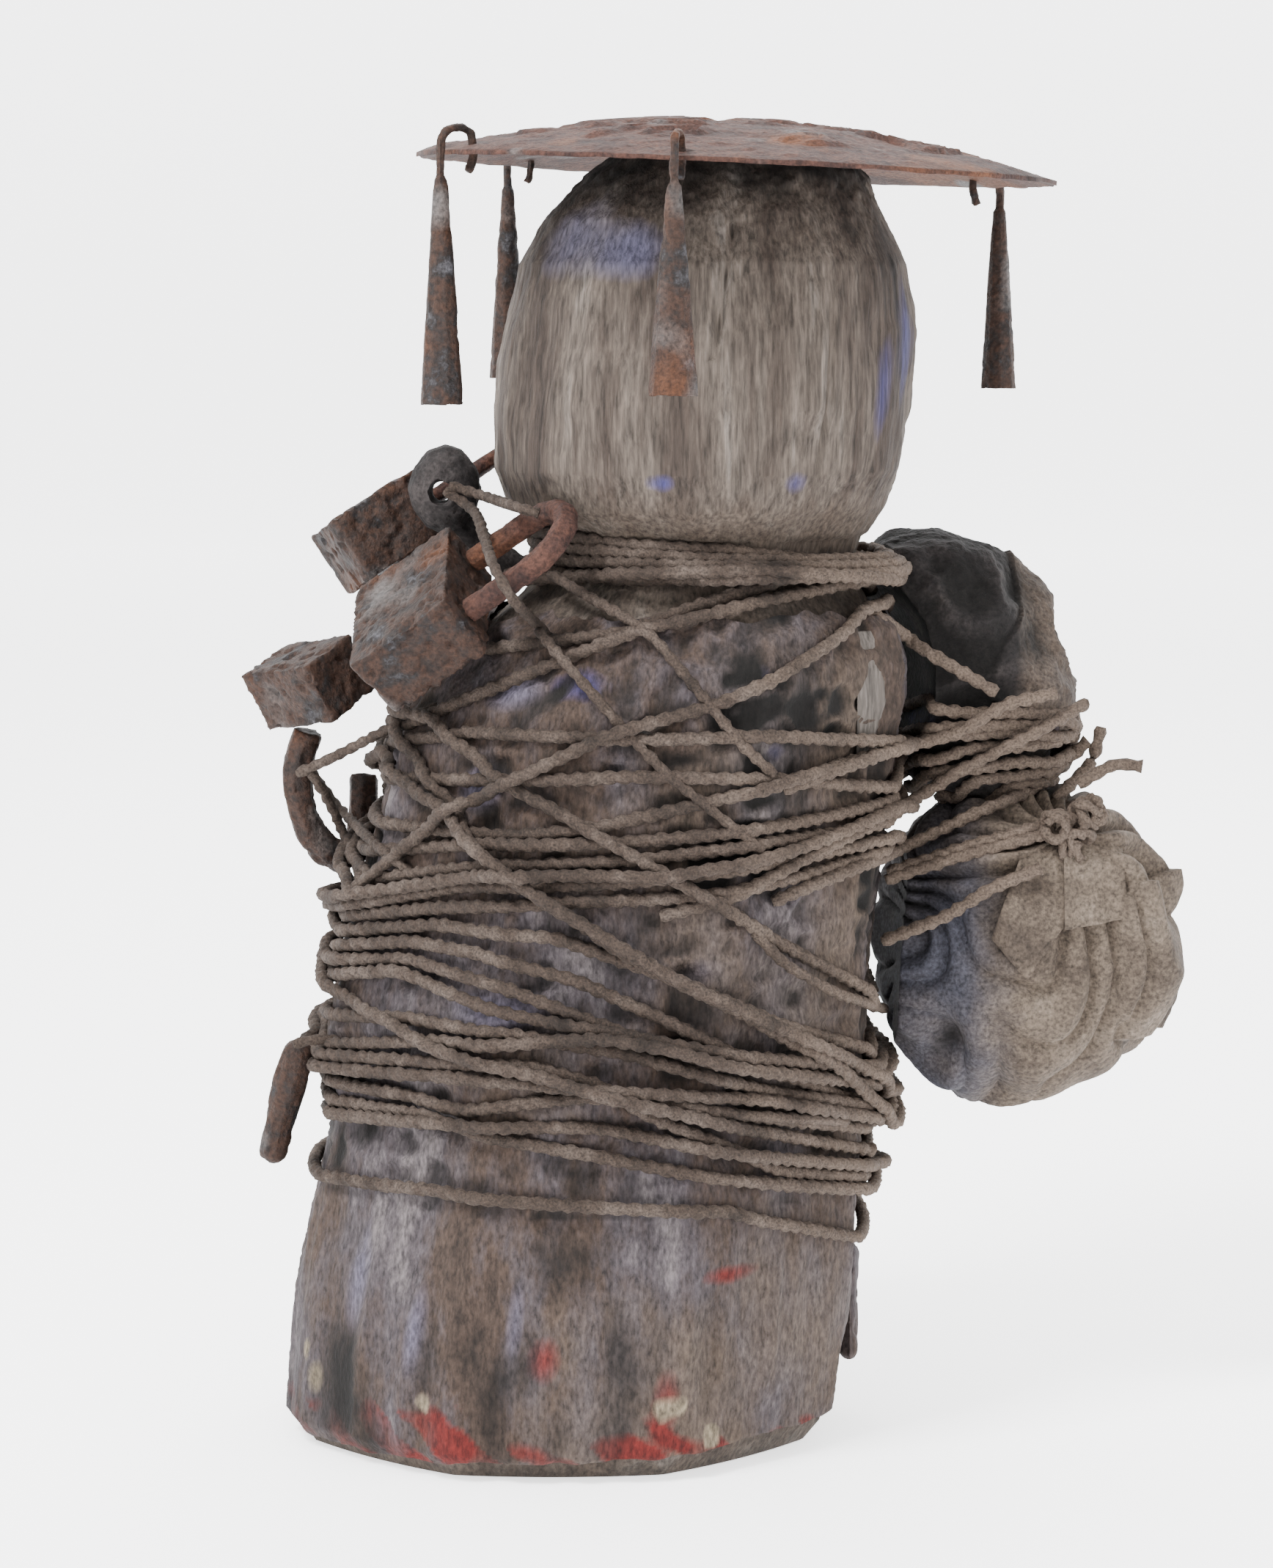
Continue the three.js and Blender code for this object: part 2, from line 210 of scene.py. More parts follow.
def material(name, colours, scale, roughness=0.9, metallic=0.0, bump=0.3, stretch=(1, 1, 1), layers=(),
             grain=900.0, depth=0.0006):
    mat = bpy.data.materials.new(name)
    mat.use_nodes = True
    nodes, links = mat.node_tree.nodes, mat.node_tree.links
    shader = nodes["Principled BSDF"]
    shader.inputs["Roughness"].default_value = roughness
    shader.inputs["Metallic"].default_value = metallic
    shader.inputs["Specular IOR Level"].default_value = 0.25
    coordinates = nodes.new("ShaderNodeTexCoord")
    mapping = nodes.new("ShaderNodeMapping")
    mapping.inputs["Scale"].default_value = stretch
    links.new(coordinates.outputs["Object"], mapping.inputs["Vector"])

    def noise_node(size, detail, rough=0.6):
        node = nodes.new("ShaderNodeTexNoise")
        node.inputs["Scale"].default_value = size
        node.inputs["Detail"].default_value = detail
        node.inputs["Roughness"].default_value = rough
        links.new(mapping.outputs["Vector"], node.inputs["Vector"])
        return node.outputs["Fac"]

    ramp = nodes.new("ShaderNodeValToRGB")
    stops = ramp.color_ramp.elements
    places = np.linspace(NOISE_LOW, NOISE_HIGH, len(colours))
    while len(stops) < len(colours):
        stops.new(0.5)
    for stop, position, colour in zip(stops, places, colours):
        stop.position = float(position)
        stop.color = (*toned(colour), 1)
    links.new(noise_node(scale, 9, 0.7), ramp.inputs["Fac"])
    colour = ramp.outputs["Color"]

    def mix(kind, factor, first, second):
        node = nodes.new("ShaderNodeMix")
        node.data_type = "RGBA"
        node.blend_type = kind
        for place, value in ((0, factor), (6, first), (7, second)):
            socket = node.inputs[place]
            if isinstance(value, bpy.types.NodeSocket):
                links.new(value, socket)
            elif isinstance(value, tuple):
                socket.default_value = (*value, 1)
            else:
                socket.default_value = value
        return node.outputs[2]

    for mask, tint, patchy in layers:
        attribute = nodes.new("ShaderNodeAttribute")
        attribute.attribute_name = mask
        spread = nodes.new("ShaderNodeMath")
        spread.operation = "MULTIPLY_ADD"
        spread.use_clamp = True
        links.new(attribute.outputs["Fac"], spread.inputs[0])
        spread.inputs[1].default_value = MASK_GAIN
        break_up = nodes.new("ShaderNodeMath")
        break_up.operation = "MULTIPLY"
        links.new(noise_node(patchy, 6), break_up.inputs[0])
        break_up.inputs[1].default_value = MASK_BREAK_UP
        links.new(break_up.outputs[0], spread.inputs[2])
        colour = mix("MIX", spread.outputs[0], colour, toned(tint))
    fine = noise_node(grain, 4)
    shade = nodes.new("ShaderNodeMapRange")
    shade.inputs["From Min"].default_value = NOISE_LOW
    shade.inputs["From Max"].default_value = NOISE_HIGH
    shade.inputs["To Min"].default_value = SHADE_DARK
    shade.inputs["To Max"].default_value = SHADE_LIGHT
    links.new(fine, shade.inputs["Value"])
    colour = mix("MULTIPLY", 1.0, colour, shade.outputs["Result"])
    links.new(colour, shader.inputs["Base Color"])
    relief = nodes.new("ShaderNodeBump")
    relief.inputs["Strength"].default_value = bump
    relief.inputs["Distance"].default_value = depth
    links.new(fine, relief.inputs["Height"])
    links.new(relief.outputs["Normal"], shader.inputs["Normal"])
    return mat


BLUE, LAVENDER, DUST = (0.055, 0.06, 0.26), (0.21, 0.2, 0.31), (0.17, 0.125, 0.095)
# The near-black tint paints shade into hollows and folds, and also lays dark patches.
RED, SHADE_AND_PATCH_BLACK, CREAM, ASH = (0.2, 0.022, 0.018), (0.01, 0.008, 0.007), (0.36, 0.29, 0.2), (0.25, 0.235, 0.23)
MATERIALS = {
    "wood": material("aged_wood", [(0.012, 0.009, 0.008), (0.09, 0.066, 0.053), (0.21, 0.17, 0.14),
                                   (0.42, 0.37, 0.33)], 40,
                     stretch=(1, 1, 0.1), layers=[("blue", BLUE, 90), ("lavender", LAVENDER, 60),
                                                  ("dust", DUST, 80), ("shade_and_dark_patch", SHADE_AND_PATCH_BLACK, 120)], bump=0.8),
    "cloth": material("crusted_cloth", [(0.018, 0.013, 0.011), (0.1, 0.066, 0.05), (0.12, 0.1, 0.11),
                                        (0.29, 0.25, 0.25)], 30,
                      stretch=(1, 1, 0.4), layers=[("lavender", LAVENDER, 60), ("blue", BLUE, 90),
                                                   ("dust", DUST, 70), ("red", RED, 60), ("cream", CREAM, 20),
                                                   ("shade_and_dark_patch", SHADE_AND_PATCH_BLACK, 90)],
                      bump=0.7),
    "cord": material("old_cord", [(0.03, 0.02, 0.015), (0.1, 0.07, 0.054), (0.22, 0.17, 0.14)], 60,
                     bump=0.8, grain=1500, layers=[("dust", (0.29, 0.215, 0.165), 70)]),
    "iron": material("rusted_iron", [(0.014, 0.01, 0.009), (0.045, 0.029, 0.024), (0.085, 0.042, 0.027),
                                     (0.035, 0.028, 0.027), (0.17, 0.165, 0.185)], 75, roughness=0.72,
                     metallic=0.2, bump=1.0, layers=[("orange", (0.2, 0.07, 0.025), 55), ("ash", ASH, 45)]),
    "rust": material("flaking_rust", [(0.018, 0.011, 0.01), (0.075, 0.034, 0.027), (0.15, 0.065, 0.045),
                                      (0.05, 0.035, 0.033)], 60, roughness=0.82, metallic=0.12, bump=1.0,
                     layers=[("orange", (0.22, 0.085, 0.04), 55), ("ash", ASH, 45)]),
    "hide": material("dark_hide", [(0.008, 0.007, 0.008), (0.03, 0.025, 0.025), (0.075, 0.062, 0.06),
                                   (0.15, 0.125, 0.11)], 42,
                     bump=0.9, layers=[("blue", BLUE, 130), ("dust", DUST, 60), ("shade_and_dark_patch", SHADE_AND_PATCH_BLACK, 60)]),
    "packet": material("packet_cloth", [(0.05, 0.037, 0.03), (0.14, 0.105, 0.08), (0.24, 0.185, 0.14),
                                        (0.33, 0.265, 0.21)], 34,
                       bump=0.6, layers=[("lavender", (0.1, 0.1, 0.13), 50), ("dust", DUST, 60),
                                         ("shade_and_dark_patch", SHADE_AND_PATCH_BLACK, 80)]),
    "pale": material("pale_wood", [(0.12, 0.1, 0.085), (0.32, 0.28, 0.25)], 60, stretch=(1, 1, 0.1),
                     bump=0.8),
}


def dress(obj, look):
    obj.data.materials.clear()
    obj.data.materials.append(MATERIALS[look])


# The small rigid pieces
def worn(node_name, look, voxel, pitted, seed, lumps=0.0):
    """A node of the frame under rust or wear: an even skin over it, pushed in and out a little."""
    node = bpy.data.objects[node_name]
    copy = bpy.data.objects.new("skin", node.data.copy())
    copy.matrix_world = node.matrix_world.copy()
    bpy.context.scene.collection.objects.link(copy)
    skin = copy.modifiers.new("skin", "REMESH")
    skin.mode = "VOXEL"
    skin.voxel_size = voxel * MM
    bpy.context.view_layer.update()
    solid = copy.evaluated_get(bpy.context.evaluated_depsgraph_get())
    mesh = bpy.data.meshes.new_from_object(solid)
    mesh.transform(copy.matrix_world)
    bpy.data.objects.remove(copy)
    count = len(mesh.vertices)
    points, normals = np.empty(count * 3), np.empty(count * 3)
    mesh.vertices.foreach_get("co", points)
    mesh.vertices.foreach_get("normal", normals)
    points, normals = points.reshape(-1, 3) / MM, normals.reshape(-1, 3)
    flakes = np.clip(noise(points, 0.16, seed, 2) * 4, -1, 1) * 0.3
    pits = -np.clip(noise(points, 0.4, seed + 5, 2) - 0.1, 0, 1) * 2.2
    push = (flakes + pits) * pitted + noise(points, 0.07, seed + 9) * lumps - 0.2
    mesh.vertices.foreach_set("co", ((points + normals * push[:, None]) * MM).ravel())
    obj = bpy.data.objects.new("worn_" + node_name, mesh)
    bpy.context.scene.collection.objects.link(obj)
    mesh.shade_smooth()
    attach(obj, "root")
    dress(obj, look)
    set_mask(obj, "orange", np.clip(noise(points, 0.045, seed + 11, 2) * 1.5 + 0.15, 0, 1) * 0.75)
    set_mask(obj, "ash", np.clip(noise(points, 0.06, seed + 13, 2) * 1.6 - 0.05, 0, 1) * 0.65)
    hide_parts(node_name)


def iron_and_trim():
    for k, name in enumerate(("padlock_front_body", "padlock_rear_body", "padlock_lower_body")):
        worn(name, "iron", 0.8, 1.0, 101 + 20 * k)
    for k, name in enumerate(("padlock_front_shackle", "padlock_rear_shackle", "iron_hoop")):
        worn(name, "rust", 0.45 if name == "iron_hoop" else 0.7, 0.25, 171 + 20 * k)
    worn("padlock_lower_shackle", "iron", 0.8, 0.6, 231, 0.8)
    for k, name in enumerate(("front", "left", "back_left", "right", "back")):
        worn("pendant_" + name, "iron", 0.7, 0.3, 251 + 20 * k)
    worn("side_peg", "iron", 0.7, 0.4, 371, 1.5)
    worn("pierced_knob", "hide", 0.7, 0.5, 391, 1.5)
    worn("shoulder_strip", "pale", 0.45, 0.2, 411)
    worn("lower_flap", "cloth", 0.7, 0.5, 431, 1.5)


iron_and_trim()


# Patches of paint and dust: bearing and height of each, then its half width in degrees and half height
def blob(angle, z, patches):
    total = 0.0
    for deg, high, wide, tall in patches:
        away = np.mod(angle - math.radians(deg) + math.pi, FULL_TURN) - math.pi
        total = total + np.exp(-(away / math.radians(wide)) ** 2 - ((z - high) / tall) ** 2)
    return total


WOOD_BLUE = [(-16, 298, 13, 22), (-33, 285, 5, 18), (-62, 262, 5, 4), (-100, 262, 6, 3)]
WOOD_LAVENDER = [(-140, 325, 25, 14), (-115, 322, 12, 8)]
WOOD_DUST = [(-60, 325, 25, 12)]
GROOVE_BEARING, GROOVE_Z, CRACK_BEARING, CRACK_Z = math.radians(305), 285, math.radians(273), 310


# The wood: head, neck, and the trunk under the cloth, with few rows where the cloth hides it
def wooden_figure():
    cols = 250
    top = CROWN_Z - 0.2
    heights = np.concatenate([np.linspace(0, 220, 40), np.linspace(221, top, 160)])
    rows = len(heights)
    angle, z = np.meshgrid(np.linspace(0, FULL_TURN, cols, endpoint=False), heights)
    base = on_wood(angle, z, 0)
    flat = base.copy()
    flat[..., 2] *= 0.1
    grain = noise(flat, 0.5, 3, 3)
    lumps = noise(base, 0.06, 5, 2)
    crust = noise(base, 0.45, 7, 3) * np.clip((z - 325) / 15, 0.15, 1)
    groove = -np.exp(-((angle - GROOVE_BEARING) / 0.012) ** 2)
    groove = groove * np.clip(1 - np.abs(z - GROOVE_Z) / 26, 0, 1) ** 0.5
    crack = -np.exp(-((angle - CRACK_BEARING - (z - CRACK_Z) * 0.002) / 0.01) ** 2) * (np.abs(z - 312) < 18)
    edge = np.clip(np.minimum(z, top - z) / 4, 0, 1)
    shift = (grain * 0.7 + lumps * 1.6 + crust * 1.4 + groove * 2.6 + crack * 2.2 - 0.9) * edge
    points = on_wood(angle, z, shift).reshape(-1, 3)
    faces = grid_faces(rows, cols)
    points = np.vstack([points, [(station(0)[0], 0, 0), (CROWN_X, 0, CROWN_Z)]])
    last = (rows - 1) * cols
    for j in range(cols):
        k = (j + 1) % cols
        faces.append((rows * cols, k, j))
        faces.append((rows * cols + 1, last + j, last + k))
    obj = add_mesh("carved_figure", points, faces)

    def masked(name, values):
        set_mask(obj, name, np.append(values, [0, 0]))

    masked("blue", blob(angle, z, WOOD_BLUE) * 0.62)
    masked("lavender", blob(angle, z, WOOD_LAVENDER) * 0.7)
    # Painted shade in the groove, the crack and below the head; darker also towards the top of the head.
    masked("shade_and_dark_patch", np.clip((z - 332 + lumps * 8) / 12, 0, 1) * 0.8 + np.abs(groove + crack) * 0.6
           + np.clip((HEAD_START - z) / 8, 0, 0.5))
    masked("dust", np.clip((268 - z) / 16, 0, 1) * 0.6 + blob(angle, z, WOOD_DUST) * 0.4)
    dress(obj, "wood")
    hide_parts("wooden_figure")


wooden_figure()


CLOTH_LAVENDER = [(-113, 125, 16, 10), (-128, 207, 14, 7), (-70, 135, 7, 7), (-128, 182, 9, 9),
                  (-101, 42, 3, 24), (-140, 50, 6, 22), (-122, 38, 4, 18)]
CLOTH_BLUE = [(-112, 209, 12, 6), (-62, 192, 6, 5), (-70, 212, 4, 4)]
CLOTH_RED = [(-58, 54, 9, 3), (-95, 33, 4, 8), (-70, 20, 3, 12)]
CLOTH_CREAM = [(-150, 20, 2.2, 4.5), (-154, 27, 1.4, 3)]


# The cloth round the trunk: folds at the foot, wrinkles between the cords, a ragged hem turned in
def body_cloth():
    rows, cols, turned = 205, 310, 6
    share = np.linspace(0, 1, rows)
    angle, part = np.meshgrid(np.linspace(0, FULL_TURN, cols, endpoint=False), share)
    ring = np.stack([np.cos(angle) * 3, np.sin(angle) * 3, 0 * angle], axis=-1)
    hem = 5.5 + 3.7 * np.cos(angle) + noise(ring, 3.1, 11, 2) * 1.6
    top = SHOULDER_TOP + noise(ring, 2.3, 13, 2) * 3 - 2
    z = hem + (top - hem) * part
    around = np.stack([np.cos(angle) * 16, np.sin(angle) * 16, z * 0.035], axis=-1)
    folds = (noise(around, 0.8, 17, 2) * 2.6 - 0.3) * np.clip((88 - z) / 30, 0.15, 1)
    pulled = np.stack([np.cos(angle) * 9, np.sin(angle) * 9, z * 0.16], axis=-1)
    creases = (1 - np.abs(noise(pulled, 0.8, 19, 2)) * 2.8) * 1.5 * np.clip((z - 60) / 30, 0, 1)
    base = on_wood(angle, z, CLOTH_OFFSET)
    crumb = noise(base, 0.7, 23, 3) * 0.35
    shift = CLOTH_OFFSET + folds + creases + crumb + noise(base, 0.05, 29) * 0.9
    shift = np.maximum(shift, 0.7)
    points = on_wood(angle, z, shift)
    under = [points[0]]
    centre = np.array([station(5.0)[0], 0, 0])
    for step in range(1, turned):
        inward = points[0] + (centre - points[0]) * [0.02 * step, 0.02 * step, 0]
        inward[:, 2] = points[0][:, 2] - 0.5 * math.sin(step)
        under.append(inward)
    points = np.concatenate([np.array(under[::-1]), points[1:]])
    full_angle = np.concatenate([np.tile(angle[:1], (turned - 1, 1)), angle])
    full_z = points[..., 2]
    ragged = noise(points, 0.25, 31, 2) * 3
    x, y = points[..., 0] + ragged, points[..., 1] + ragged
    bare = (x > 58) & (y > -20) & (y < 48) & (full_z < 51 + ragged)
    keep = ~bare.reshape(-1)
    faces = [face for face in grid_faces(len(points), cols) if all(keep[i] for i in face)]
    used = np.zeros(keep.size, bool)
    used[np.array(faces).ravel()] = True
    renumber = np.cumsum(used) - 1
    faces = [tuple(int(renumber[i]) for i in face) for face in faces]
    obj = add_mesh("wrapped_cloth", points.reshape(-1, 3)[used], faces)

    def masked(name, values):
        set_mask(obj, name, np.broadcast_to(values, full_z.shape).reshape(-1)[used])

    masked("lavender", blob(full_angle, full_z, CLOTH_LAVENDER) * 0.62)
    masked("blue", blob(full_angle, full_z, CLOTH_BLUE) * 0.55)
    masked("dust", np.clip(np.cos(full_angle + 0.9), 0, 1) * 0.45 + 0.05 + noise(points, 0.03, 51, 2) * 0.5)
    from_left = (np.mod(full_angle, FULL_TURN) - math.radians(235)) / 0.55
    front_left = 0.35 + 0.65 * np.exp(-from_left ** 2)
    foot = np.clip((8 + 16 * front_left + noise(points, 0.05, 35, 2) * 14 - full_z) / 7, 0, 1)
    diagonal = np.clip(np.sin(full_angle * 22 + full_z * 0.35) * 2 - 0.9, 0, 1)
    masked("red", foot * (0.75 + 0.8 * noise(points, 0.1, 37, 2) - 0.7 * diagonal)
           + blob(full_angle, full_z, CLOTH_RED) * 0.8)
    ovals = np.clip(noise(points * [1, 1, 0.6], 0.16, 39) * 3 - 1.3, 0, 1)
    ovals = ovals * np.clip((26 - full_z) / 6, 0, 1)
    masked("cream", ovals + blob(full_angle, full_z, CLOTH_CREAM))
    relief = np.concatenate([shift[:1].repeat(turned - 1, 0), shift]) - CLOTH_OFFSET
    # Painted shade in the hollows between the folds, weaker below 70 mm, with dark stains at random.
    masked("shade_and_dark_patch", np.clip(0.45 - relief * 0.3, 0, 0.7) * np.where(full_z > 70, 1, 0.55)
           + np.clip(noise(points, 0.035, 49, 2) - 0.1, 0, 1) * 0.9)
    dress(obj, "cloth")
    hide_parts("body_cloth")


body_cloth()


# Sight lines: a place is marked on the photograph in pixels and followed from the camera
EYE = np.array([CAM_X, -CAM_BACK, CAM_HIGH])


def sight(u, v):
    across, up = (u - MID_U) / FOCAL_PX, (MID_V - v) / FOCAL_PX
    return np.array([across, math.cos(CAM_PITCH) + up * math.sin(CAM_PITCH),
                     -math.sin(CAM_PITCH) + up * math.cos(CAM_PITCH)])


# Cords. A route is drawn on the photograph, dropped onto the trunk, and carried round the back.
def drop(u, v, offset=4.0):
    """Where the sight line through a pixel meets the trunk: its angle and height."""
    ray = sight(u, v)
    best = (1e9, -math.pi / 2, 0.0)
    for step in np.linspace(CAM_BACK - 95, CAM_BACK, 96):
        spot = EYE + ray * step / ray[1]
        centre, half = station(spot[2])
        reach = half + offset
        inside = ((spot[0] - centre) / reach) ** 2 + (spot[1] / (half * TRUNK_DEPTH + offset)) ** 2
        if abs(inside - 1) < best[0]:
            best = (abs(inside - 1), math.atan2(spot[1], spot[0] - centre), float(spot[2]))
        if inside < 1:
            break
    return best[1], best[2]


# How far out the trunk's covering stands, by height and bearing, as the cords build it up
HEIGHT_STEPS, AROUND_STEPS, HIGHEST, THICKEST = 260, 720, 260.0, 11.0
cover = np.full((HEIGHT_STEPS, AROUND_STEPS), CLOTH_OFFSET + 0.8)
cover[int(SHOULDER_TOP):, :] = 0.2


def lay(angle, z, radius):
    """Rest a cord on what is already there, bridge the hollows, and add it to the cover."""
    row = np.clip((z / HIGHEST * HEIGHT_STEPS).astype(int), 2, HEIGHT_STEPS - 3)
    col = np.mod((angle / FULL_TURN * AROUND_STEPS).astype(int), AROUND_STEPS)
    reach = range(-2, 3)
    rest = np.max([cover[row + i, np.mod(col + j, AROUND_STEPS)] * (1 if abs(i) < 2 else 0.85)
                   for i in reach for j in reach], axis=0)
    kernel = np.hanning(13)
    kernel /= kernel.sum()
    padded = np.concatenate([rest[-6:], rest, rest[:6]])
    rest = np.maximum(np.convolve(padded, kernel, "valid"), rest - 0.8)
    lift = rest + radius
    for i in (-1, 0, 1):
        for j in (-1, 0, 1):
            spot = (row + i, np.mod(col + j, AROUND_STEPS))
            cover[spot] = np.maximum(cover[spot], np.minimum(rest + 1.5 * radius, THICKEST))
    return lift


def twisted(route, radius, closed, pitch=8.5, sides=8):
    """A two-strand cord: its section is waisted and turns along the route."""
    route = np.asarray(route)
    along = np.roll(route, -1, 0) - np.roll(route, 1, 0) if closed else np.gradient(route, axis=0)
    along /= np.linalg.norm(along, axis=1, keepdims=True) + 1e-9
    up = np.where(np.abs(along[:, 2:3]) > 0.9, np.array([[1.0, 0, 0]]), np.array([[0, 0, 1.0]]))
    side = np.cross(along, up)
    side /= np.linalg.norm(side, axis=1, keepdims=True)
    other = np.cross(side, along)
    length = np.concatenate([[0], np.cumsum(np.linalg.norm(np.diff(route, axis=0), axis=1))])
    turn = length[:, None] * FULL_TURN / pitch
    ring = np.linspace(0, FULL_TURN, sides, endpoint=False)[None, :]
    reach = radius * (0.66 + 0.42 * np.abs(np.cos(ring - turn)))
    fuzz = 1 + 0.16 * noise(np.repeat(route[:, None, :], sides, 1) + np.cos(ring)[..., None], 0.9, 41)
    reach = (reach * fuzz)[..., None]
    return (route[:, None, :] + reach * (side[:, None, :] * np.cos(ring)[..., None]
                                         - other[:, None, :] * np.sin(ring)[..., None]))


def resample(points, step, closed):
    points = np.asarray(points, float)
    loop = np.vstack([points, points[:1]]) if closed else points
    length = np.concatenate([[0], np.cumsum(np.linalg.norm(np.diff(loop, axis=0), axis=1))])
    count = max(4, int(length[-1] / step))
    spots = np.linspace(0, length[-1], count, endpoint=not closed)
    return np.stack([np.interp(spots, length, loop[:, k]) for k in range(3)], axis=1)


def smooth_line(values, times=3):
    values = np.asarray(values, float)
    for _ in range(times):
        values[1:-1] = (values[:-2] + 2 * values[1:-1] + values[2:]) / 4
    return values


class CordPile:
    """Tubes gathered into one mesh."""

    def __init__(self):
        self.points, self.faces, self.count = [], [], 0

    def add(self, route, radius=CORD_RADIUS, closed=True):
        rings = twisted(route, radius, closed)
        rows, cols = rings.shape[:2]
        if closed:
            self.faces += grid_faces(rows, cols, True, self.count)
        else:
            self.faces += capped_faces(rows, cols, self.count)
        self.points.append(rings.reshape(-1, 3))
        self.count += rows * cols

    def build(self, name, nodes=()):
        points = np.vstack(self.points)
        obj = add_mesh(name, points, self.faces)
        set_mask(obj, "dust", np.clip(0.22 + (points[:, 0] - 20) / 150, 0, 0.65))
        dress(obj, "cord")
        if nodes:
            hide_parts(*nodes)


def turn_from_photo(pixels, back_sag=0.0):
    """One turn: the front from the photograph, the back a smooth run between its ends."""
    angle, z = np.array(sorted(drop(u, v) for u, v in pixels)).T
    grid = np.linspace(angle[0], angle[0] + FULL_TURN, 380, endpoint=False)
    gap_start, gap_end = angle[-1], angle[0] + FULL_TURN
    share = np.clip((grid - gap_start) / (gap_end - gap_start), 0, 1)
    ease = share * share * (3 - 2 * share)
    back = z[-1] + (z[0] - z[-1]) * ease + back_sag * np.sin(math.pi * share)
    high = np.where(grid <= gap_start, np.interp(grid, angle, z), back)
    high = smooth_line(high, 10)
    lift = lay(grid, high, CORD_RADIUS)
    return resample(on_wood(grid, high, lift), CORD_STEP, True)


# Turns round the trunk, each as its visible front in pixels, from left to right
UPPER_TURNS = [
    [(520, 905), (664, 886), (861, 862), (941, 830), (1126, 767), (1185, 790)],
    [(560, 990), (640, 953), (759, 906), (877, 858), (1035, 819), (1170, 795)],
    [(648, 1000), (759, 1004), (877, 1010), (1035, 1004), (1225, 1012)],
    [(530, 1060), (705, 1065), (860, 1060), (1035, 1062), (1215, 1075)],
    [(520, 1120), (705, 1141), (815, 1130), (920, 1105), (1080, 1060), (1215, 1020)],
    [(510, 1160), (680, 1150), (860, 1150), (1035, 1130), (1215, 1090)],
    [(500, 1200), (680, 1180), (860, 1175), (1035, 1150), (1210, 1120)],
    [(480, 1235), (640, 1210), (860, 1205), (1035, 1180), (1208, 1140)],
]
# The fan that leaves the left edge
LOWER_TURNS = [
    [(470, 1250), (600, 1240), (760, 1232), (930, 1225), (1200, 1160)],
    [(465, 1270), (600, 1262), (760, 1280), (900, 1330), (1060, 1400), (1195, 1440)],
    [(460, 1290), (561, 1285), (660, 1300), (790, 1339), (902, 1392), (1014, 1451), (1155, 1500)],
    [(455, 1306), (561, 1310), (690, 1345), (820, 1400), (960, 1450), (1190, 1470)],
    [(450, 1330), (547, 1324), (628, 1359), (721, 1389), (820, 1405), (1000, 1440), (1192, 1455)],
    [(440, 1380), (560, 1390), (700, 1410), (860, 1440), (1040, 1490), (1190, 1510)],
    [(430, 1421), (593, 1421), (668, 1426), (820, 1413), (902, 1428), (986, 1454), (1190, 1480)],
    [(435, 1431), (534, 1447), (721, 1453), (820, 1482), (874, 1521), (986, 1566), (1057, 1600),
     (1180, 1605)],
    [(446, 1469), (561, 1496), (636, 1517), (721, 1506), (820, 1496), (986, 1520), (1182, 1540)],
    [(440, 1490), (588, 1522), (668, 1549), (820, 1580), (1000, 1612), (1178, 1622)],
    [(440, 1510), (600, 1530), (820, 1540), (1000, 1575), (1180, 1590)],
    [(445, 1450), (640, 1470), (860, 1488), (1030, 1500), (1188, 1528)],
]
# The long slanting strands that cross over the rest
SLANTING_TURNS = [
    [(558, 985), (628, 1109), (676, 1168), (735, 1216), (842, 1296), (986, 1375), (1113, 1451), (1186, 1535)],
    [(601, 980), (708, 1071), (788, 1119), (900, 1190), (1060, 1290), (1200, 1375)],
    [(528, 1023), (622, 1103), (760, 1230), (940, 1350), (1100, 1430), (1195, 1490)],
    [(500, 1216), (547, 1168), (622, 1109), (731, 1056), (838, 1000), (980, 961), (1075, 910), (1174, 834)],
    [(440, 1310), (534, 1389), (600, 1430), (760, 1470), (1000, 1540), (1180, 1570)],
    [(470, 1225), (690, 1190), (900, 1195), (1053, 1165), (1206, 1100)],
]
LOW_TURN = [(424, 1595), (600, 1625), (790, 1647), (986, 1653), (1028, 1667), (1099, 1678), (1165, 1689)]
NECK_TURNS = [
    [(745, 728), (870, 745), (1000, 752), (1184, 775)], [(742, 742), (870, 756), (1000, 764), (1184, 760)],
    [(738, 760), (870, 768), (1000, 772), (1186, 768)], [(735, 778), (870, 792), (1010, 788), (1186, 778)],
    [(733, 790), (880, 780), (1030, 775), (1188, 790)],
]
WINDINGS = [("winding_lower", LOWER_TURNS, ()), ("winding_upper", UPPER_TURNS, ["body_winding"]),
            ("winding_slanting", SLANTING_TURNS, ())]
BACK_SAG = 14.0


def wind():
    low = CordPile()
    low.add(turn_from_photo(LOW_TURN))
    low.build("low_turn", ["low_cord"])
    for name, turns, nodes in WINDINGS:
        pile = CordPile()
        for k, turn in enumerate(turns):
            pile.add(turn_from_photo(turn, back_sag=BACK_SAG * math.sin(2.4 * k)))
        pile.build(name, nodes)
    neck = CordPile()
    for turn in NECK_TURNS:
        neck.add(turn_from_photo(turn))
    neck.build("neck_turns", ["neck_winding"])


wind()


DISC_RADIUS, DISC_RISE, DISC_TOP, DISC_X, DISC_TILT = 87.0, 12.0, 358.5, 46.0, math.radians(2.6)


